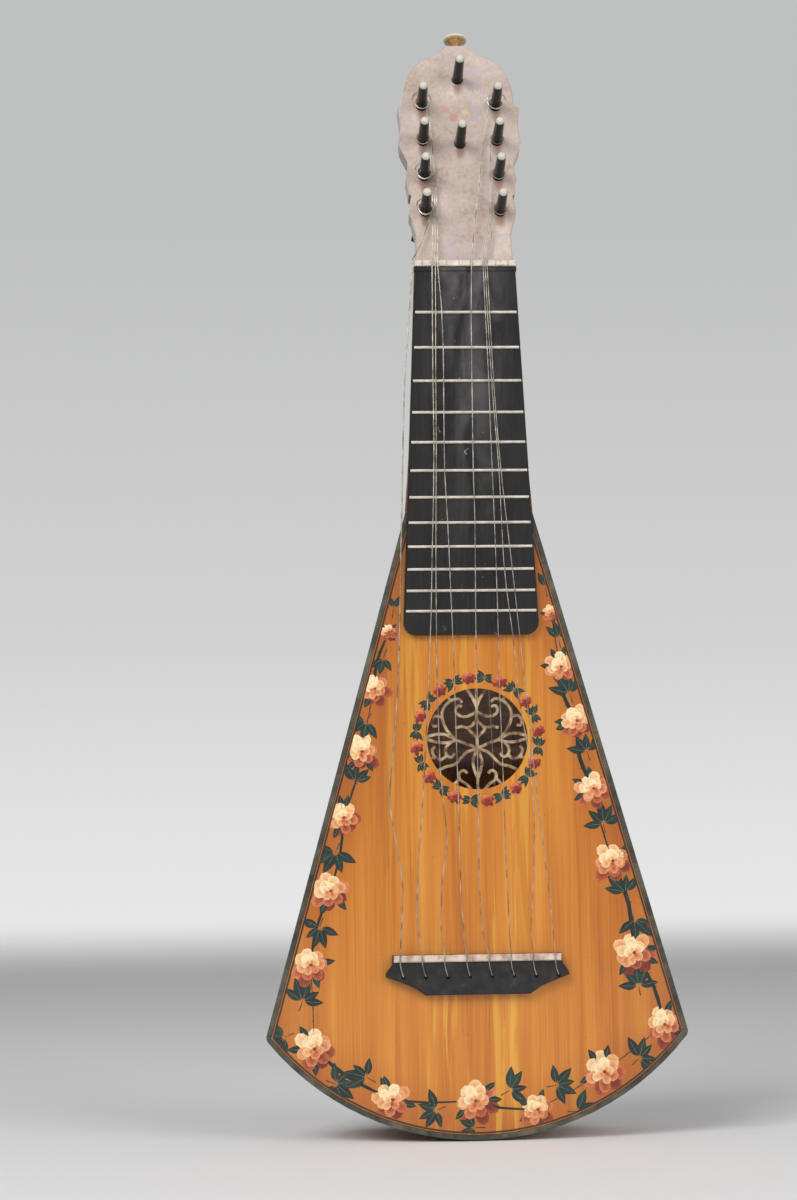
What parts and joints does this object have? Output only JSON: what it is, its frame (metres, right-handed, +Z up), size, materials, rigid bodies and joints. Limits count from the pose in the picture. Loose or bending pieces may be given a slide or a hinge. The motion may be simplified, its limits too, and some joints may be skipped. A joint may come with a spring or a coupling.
{
  "type": "harp guitar",
  "caption": "Small fan-shaped harp guitar with a fretted neck, a vaulted stave back, an openwork rosette and a tilted head whose friction pegs turn.",
  "frame": {"origin": "lowest point of the soundboard's outer face, on the centre line, at the round lower end", "axes": "+Z up the strings towards the head, -Y out of the soundboard, X across"},
  "size_m": [0.3066, 0.1338, 0.8426],
  "materials": {
    "spruce": "gloss varnish",
    "binding": "dark stained edging",
    "maple": "satin varnish",
    "softwood": "bare",
    "ebony": "black, polished",
    "bone": "polished bone",
    "gilt": "worn gilding",
    "head_paint": "gloss varnish over pale paint",
    "wire": "dull wire"
  },
  "bodies": {
    "instrument": {"soundboard": "spruce", "rosette": "gilt", "binding_left": "binding", "binding_right": "binding", "binding_bottom": "binding", "rib_1": "maple", "rib_2": "maple", "rib_3": "maple", "rib_4": "maple", "rib_5": "maple", "rib_6": "maple", "rib_7": "maple", "end_panel": "maple", "neck": "maple", "neck_block": "softwood", "lining_left": "softwood", "lining_right": "softwood", "lining_end": "softwood", "brace_lower": "softwood", "brace_middle": "softwood", "brace_upper": "softwood", "fingerboard": "ebony", "fret_1": "bone", "fret_2": "bone", "fret_3": "bone", "fret_4": "bone", "fret_5": "bone", "fret_6": "bone", "fret_7": "bone", "fret_8": "bone", "fret_9": "bone", "fret_10": "bone", "fret_11": "bone", "fret_12": "bone", "nut_strip": "ebony", "nut": "bone", "head": "head_paint", "knob": "bone", "bridge": "ebony", "saddle": "bone", "string_1": "wire", "string_2": "wire", "string_3": "wire", "string_4": "wire", "string_5": "wire", "string_6": "wire", "string_7": "wire", "string_8": "wire"},
    "left_peg_1": {"peg_l1": "ebony"},
    "left_peg_2": {"peg_l2": "ebony"},
    "left_peg_3": {"peg_l3": "ebony"},
    "left_peg_4": {"peg_l4": "ebony"},
    "right_peg_1": {"peg_r1": "ebony"},
    "right_peg_2": {"peg_r2": "ebony"},
    "right_peg_3": {"peg_r3": "ebony"},
    "right_peg_4": {"peg_r4": "ebony"},
    "centre_peg_1": {"peg_c1": "ebony"},
    "centre_peg_2": {"peg_c2": "ebony"}
  },
  "joints": [
    {"name": "turn_left_peg_1", "type": "hinge", "parent": "instrument", "child": "left_peg_1", "pos_m": [-0.0285, 0.02949, 0.77918], "axis": [0, -0.9703, 0.2419], "continuous": true},
    {"name": "turn_left_peg_2", "type": "hinge", "parent": "instrument", "child": "left_peg_2", "pos_m": [-0.0285, 0.02199, 0.74911], "axis": [0, -0.9703, 0.2419], "continuous": true},
    {"name": "turn_left_peg_3", "type": "hinge", "parent": "instrument", "child": "left_peg_3", "pos_m": [-0.0285, 0.01456, 0.71932], "axis": [0, -0.9703, 0.2419], "continuous": true},
    {"name": "turn_left_peg_4", "type": "hinge", "parent": "instrument", "child": "left_peg_4", "pos_m": [-0.0285, 0.00711, 0.68943], "axis": [0, -0.9703, 0.2419], "continuous": true},
    {"name": "turn_right_peg_1", "type": "hinge", "parent": "instrument", "child": "right_peg_1", "pos_m": [0.0285, 0.02949, 0.77918], "axis": [0, -0.9703, 0.2419], "continuous": true},
    {"name": "turn_right_peg_2", "type": "hinge", "parent": "instrument", "child": "right_peg_2", "pos_m": [0.0285, 0.02199, 0.74911], "axis": [0, -0.9703, 0.2419], "continuous": true},
    {"name": "turn_right_peg_3", "type": "hinge", "parent": "instrument", "child": "right_peg_3", "pos_m": [0.0285, 0.01456, 0.71932], "axis": [0, -0.9703, 0.2419], "continuous": true},
    {"name": "turn_right_peg_4", "type": "hinge", "parent": "instrument", "child": "right_peg_4", "pos_m": [0.0285, 0.00711, 0.68943], "axis": [0, -0.9703, 0.2419], "continuous": true},
    {"name": "turn_centre_peg_1", "type": "hinge", "parent": "instrument", "child": "centre_peg_1", "pos_m": [0, 0.03525, 0.80228], "axis": [0, -0.9703, 0.2419], "continuous": true},
    {"name": "turn_centre_peg_2", "type": "hinge", "parent": "instrument", "child": "centre_peg_2", "pos_m": [0, 0.02141, 0.74678], "axis": [0, -0.9703, 0.2419], "continuous": true}
  ]
}
